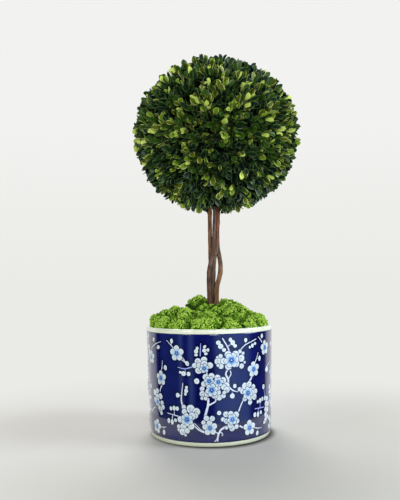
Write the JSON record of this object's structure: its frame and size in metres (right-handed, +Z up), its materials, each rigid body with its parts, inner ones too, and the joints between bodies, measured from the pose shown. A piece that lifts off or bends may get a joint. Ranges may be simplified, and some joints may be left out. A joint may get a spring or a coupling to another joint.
{
  "type": "box topiary ball in a pot",
  "caption": "Clipped ball of box foliage on a twisted bundle of slim bare stems, in a straight-sided glazed pot topped with moss.",
  "frame": {"origin": "centre of the pot's flat underside", "axes": "+Z up along the pot's axis, the viewed front faces -Y, +X to the right"},
  "size_m": [0.2716, 0.2675, 0.6108],
  "materials": {
    "glazed_porcelain": "high gloss blue and white glaze",
    "planting_foam": "matt",
    "bark": "rough",
    "moss": "matt, curly",
    "box_leaves": "satin leaf"
  },
  "bodies": {
    "root": {"pot": "glazed_porcelain", "planting_plug": "planting_foam", "stem_left": "bark", "stem_front": "bark", "stem_middle": "bark", "stem_right": "bark", "moss_clump_01": "moss", "moss_clump_02": "moss", "moss_clump_03": "moss", "moss_clump_04": "moss", "moss_clump_05": "moss", "moss_clump_06": "moss", "moss_clump_07": "moss", "moss_clump_08": "moss", "moss_clump_09": "moss", "moss_clump_10": "moss", "moss_clump_11": "moss", "moss_clump_12": "moss", "moss_clump_13": "moss", "moss_clump_14": "moss", "moss_clump_15": "moss", "moss_clump_16": "moss", "moss_clump_17": "moss", "moss_clump_18": "moss", "moss_clump_19": "moss", "moss_clump_20": "moss", "moss_clump_21": "moss", "moss_clump_22": "moss", "moss_clump_23": "moss", "moss_clump_24": "moss", "moss_clump_25": "moss", "moss_clump_26": "moss", "moss_clump_27": "moss", "moss_clump_28": "moss", "moss_clump_29": "moss", "foliage_ball": "box_leaves"}
  },
  "joints": []
}
